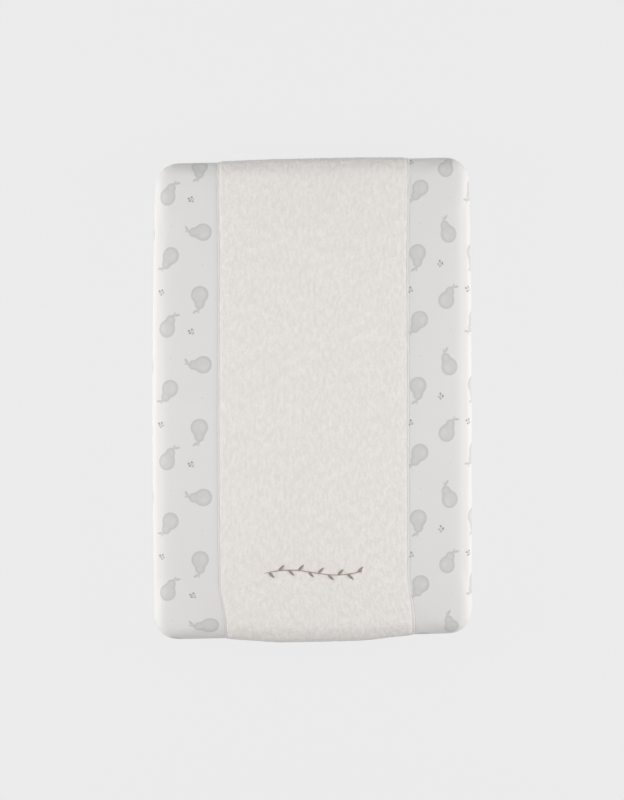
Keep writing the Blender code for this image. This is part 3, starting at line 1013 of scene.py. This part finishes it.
def dart_line(shape, sign_x, sign_y):
    """The points of the cover down one corner, from below the shoulder to the hem."""
    boxed = layer(shape, "box")
    laid = layer(shape, "laid")
    line = []
    for vert in shape.verts:
        spot = vert[boxed]
        inset_x = cover_x - sign_x * spot.x
        inset_y = (cover_y - sign_y * spot.y) * (cover_x - turned_x) / (cover_y - turned_y)
        if vert[laid].z > DART_TOP and abs(inset_x - inset_y) < 1e-4 and inset_x < 0.03:
            line.append(vert)
    line.sort(key=lambda vert: vert[laid].z)
    return line


dart_finish = thread_finish("dart_thread", *DART_TONES, 0.0004)
for place, sign_x, sign_y in (("head_left", -1, 1), ("head_right", 1, 1),
                              ("foot_left", -1, -1), ("foot_right", 1, -1)):
    line = dart_line(form, sign_x, sign_y)
    dart = lofted(ridge(line, SEAM_STEP, DART_HALF, DART_RISE, DART_PITCH, 0.8))
    made("dart_" + place, dart, dart_finish, "dart_seam", "corner_dart_" + place)


# -------------------- hem casing and elastic
# The cut edge is folded into a casing and sewn down, and a flat woven elastic in it gathers the
# cover under the pad. The casing lies on the floor in close, uneven gathers.
HEM_STATIONS = 900
HEM_AROUND = 12
HEM_GATHER = 0.0085  # between two gathers
HEM_INSET = 0.007  # from the casing's outer edge to its middle
HEM_HALF = 0.0068
HEM_TONE = (0.68, 0.665, 0.65)
ELASTIC_RIB = 0.0016
ELASTIC_TONES = (0.62, 0.62, 0.61), (0.85, 0.85, 0.84)
HEM_THREAD_TONES = (0.60, 0.59, 0.58), (0.84, 0.83, 0.82)

hem_x, hem_y = hem_high.x, hem_high.y
hem_height = hem_high.z - hem_low.z


def hem_path(count):
    """Points round the middle of the casing with their outward directions."""
    radius = OPEN_R - HEM_INSET
    straight_x, straight_y = hem_x - HEM_INSET - radius, hem_y - HEM_INSET - radius
    arc = radius * math.pi / 2
    total = 4 * (straight_x + straight_y + arc)
    result = []
    for step in range(count):
        way = total * step / count
        for turn in range(4):
            first, last = (straight_y, straight_x) if turn % 2 == 0 else (straight_x, straight_y)
            if way < first + arc + last:
                break
            way -= first + arc + last
        facing = Matrix.Rotation(turn * math.pi / 2, 2)
        far_in, along_in = (straight_x, straight_y) if turn % 2 == 0 else (straight_y, straight_x)
        if way < first:
            place, out = Vector((far_in + radius, way)), Vector((1, 0))
        elif way < first + arc:
            angle = (way - first) / radius
            out = Vector((math.cos(angle), math.sin(angle)))
            place = Vector((far_in, along_in)) + out * radius
        else:
            place, out = Vector((far_in - (way - first - arc), along_in + radius)), Vector((0, 1))
        place, out = facing @ place, facing @ out
        result.append((Vector((place.x, place.y, 0)), Vector((out.x, out.y, 0))))
    return result, total


stations, hem_total = hem_path(HEM_STATIONS)
hem_loops = []
for index, (place, out) in enumerate(stations):
    way = hem_total * index / HEM_STATIONS
    wave = math.sin(math.tau * round(hem_total / HEM_GATHER) * index / HEM_STATIONS
                    + 2.2 * noise.noise(place * 35))
    points = []
    for turn in range(HEM_AROUND):
        angle = math.tau * turn / HEM_AROUND
        flat = math.copysign(abs(math.cos(angle)) ** 0.6, math.cos(angle))
        tall = math.copysign(abs(math.sin(angle)) ** 0.7, math.sin(angle))
        reach = HEM_HALF * flat * (1 - 0.03 * wave)
        rise = hem_height / 2 * (1 + tall * (0.80 + 0.18 * wave * math.cos(angle * 2 + wave)))
        points.append(place + out * reach + Vector((0, 0, max(rise, 0.0001))))
    hem_loops.append(points)
hem_shape = lofted(hem_loops, closed=True)

hem_finish, link, feed = finish("gathered_jersey", Roughness=0.88, Specular_IOR_Level=0.25,
                                Sheen_Weight=0.15)
spot = link.places()
fuzz = link.noise(spot, 1400.0)
clouds = link.noise(spot, 30.0, 3.0)
feed(Base_Color=link.mix(clouds * 0.7 + fuzz * 0.3, HEM_TONE, CLOTH_TONE),
     Normal=(fuzz * 0.7 + clouds * 0.3).bump(0.0003))
hem = made("gathered_hem", hem_shape, hem_finish, "hem_jersey", "hem_casing")


def copied(node):
    """A merged copy of a CAD piece's mesh, to lay as the mat lies."""
    shape = bmesh.new()
    shape.from_mesh(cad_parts[node].data)
    bmesh.ops.remove_doubles(shape, verts=shape.verts, dist=1e-6)
    return shape


elastic_finish, link, feed = finish("woven_elastic", Roughness=0.7, Sheen_Weight=0.1)
spot = link.places()
x, y, _ = spot.parts()
ribs = x.wave(1 / ELASTIC_RIB) * y.wave(1 / ELASTIC_RIB) * 0.5 + 0.5
feed(Base_Color=link.mix(ribs, *ELASTIC_TONES), Normal=ribs.bump(0.0003))
made("woven_elastic", copied("hem_elastic"), elastic_finish, "elastic", "hem_elastic")
stitch_finish = thread_finish("hem_thread", *HEM_THREAD_TONES, 0.0006)
made("hem_stitches", copied("hem_stitching"), stitch_finish, "hem_thread", "hem_stitching")


# -------------------- care label
# A blank ribbon of white satin, heat-cut and sewn flat under the left side of the cover.
LABEL_T = 0.0004
LABEL_LEVEL = 0.0020  # above the floor, just below the jersey
LABEL_RIPPLE = 0.0002
LABEL_TONES = (0.74, 0.74, 0.73), (0.88, 0.88, 0.87)

label_low, label_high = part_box("care_label")
label_shape = bmesh.new()
bmesh.ops.create_grid(label_shape, x_segments=14, y_segments=21, size=0.5)
bmesh.ops.scale(label_shape, verts=label_shape.verts,
                vec=(label_high.x - label_low.x, label_high.y - label_low.y, 1))
bmesh.ops.translate(label_shape, verts=label_shape.verts,
                    vec=((label_high.x + label_low.x) / 2, (label_high.y + label_low.y) / 2, 0))
for vert in label_shape.verts:
    vert.co.z = LABEL_LEVEL + LABEL_RIPPLE * noise.noise(vert.co * 120)
bmesh.ops.solidify(label_shape, geom=label_shape.faces[:], thickness=LABEL_T)
faced_out(label_shape)
label_finish, link, feed = finish("satin_ribbon", Roughness=0.42, Sheen_Weight=0.4)
spot = link.places()
x, y, _ = spot.parts()
floats = x.wave(1 / 0.0007) * y.wave(1 / 0.0023) * 0.5 + 0.5
feed(Base_Color=link.mix(floats, *LABEL_TONES),
     Roughness=floats * 0.2 + 0.34, Normal=floats.bump(0.0001))
label = made("care_ribbon", label_shape, label_finish, "label", "care_label")


# -------------------- embroidered sprig
# Satin stitch in dusky rose-brown rayon on the terry near the foot end: a swaying stem with
# leaves to both sides, each leaf a low dome of close parallel threads.
STEM_HALF = 0.00062
STEM_RISE = 0.0007
LEAF_LENGTH = 0.0125
LEAF_HALF = 0.0019
LEAF_RISE = 0.0009
LEAF_ANGLE = 45
LEAVES = 10
SWAY = 0.0045
STRAND = 0.00062
STEM_STEPS = 260
STEM_TWIST = 0.0017  # one turn of the stem's thread
RAYON_TONES = (0.300, 0.215, 0.195), (0.500, 0.390, 0.360)

sprig_low, sprig_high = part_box("embroidered_sprig")
sprig_middle = (sprig_low + sprig_high) / 2
sprig_length = sprig_high.x - sprig_low.x
over_cover = BVHTree.FromBMesh(form)


def terry_top(x, y):
    """The height of the terry's surface."""
    hit, _, _, _ = over_cover.ray_cast(Vector((x, y, 1)), Vector((0, 0, -1)))
    return hit.z + PILE + 0.0002


def stem_point(along):
    """A point of the stem, from 0 at its left end to 1 at its right."""
    x = sprig_middle.x + (along - 0.5) * sprig_length
    y = sprig_middle.y + SWAY * math.sin(math.tau * along)
    return Vector((x, y, terry_top(x, y)))


stem_loops = []
for step in range(STEM_STEPS + 1):
    along = step / STEM_STEPS
    place, ahead = stem_point(along), stem_point(along + 0.001)
    across = (ahead - place).cross(Vector((0, 0, 1))).normalized()
    width = STEM_HALF * min(1, 0.35 + 6 * min(along, 1 - along))
    points = []
    for turn in range(8):
        angle = math.tau * turn / 8
        thread = math.tau * step * sprig_length / STEM_STEPS / STEM_TWIST
        twist = 1 + 0.14 * math.sin(thread + 1.5 * math.cos(angle))
        points.append(place + across * width * twist * math.cos(angle)
                      + Vector((0, 0, STEM_RISE * twist * math.sin(angle) * 0.8)))
    stem_loops.append(points)
sprig = lofted(stem_loops)
for index in range(LEAVES):
    foot = stem_point((index + 0.5) / LEAVES)
    turn = math.radians(LEAF_ANGLE * (1 if index % 2 else -1))
    leaf = bmesh.new()
    bmesh.ops.create_uvsphere(leaf, u_segments=14, v_segments=40, radius=0.5,
                              matrix=Matrix.Rotation(math.pi / 2, 4, "Y"))
    for vert in leaf.verts:
        along = vert.co.x + 0.5
        fullness = math.sin(math.pi * min(1, along ** 0.75)) ** 0.8 if 0 < along < 1 else 0
        ring = Vector((vert.co.y, vert.co.z)).normalized() if 0 < along < 1 else Vector((0, 0))
        thread = math.sin(math.tau * (along * LEAF_LENGTH + abs(ring.x) * 0.0008) / STRAND)
        middle_line = 1 - 0.30 * math.exp(-(ring.x / 0.16) ** 2)
        vert.co = Vector((along * LEAF_LENGTH,
                          LEAF_HALF * fullness * ring.x,
                          LEAF_RISE * fullness * ring.y * middle_line * (1 + 0.10 * thread)))
    placed = Matrix.Translation(foot) @ Matrix.Rotation(turn, 4, "Z")
    bmesh.ops.transform(leaf, matrix=placed, verts=leaf.verts)
    bmesh.ops.remove_doubles(leaf, verts=leaf.verts, dist=1e-7)
    faced_out(leaf)
    leaf_mesh = bpy.data.meshes.new("leaf")
    leaf.to_mesh(leaf_mesh)
    leaf.free()
    sprig.from_mesh(leaf_mesh)
    bpy.data.meshes.remove(leaf_mesh)
rayon = thread_finish("embroidery_rayon", *RAYON_TONES, 0.0006)
made("sprig_embroidery", sprig, rayon, "embroidery", "embroidered_sprig")


# -------------------- the finished mat
form.free()
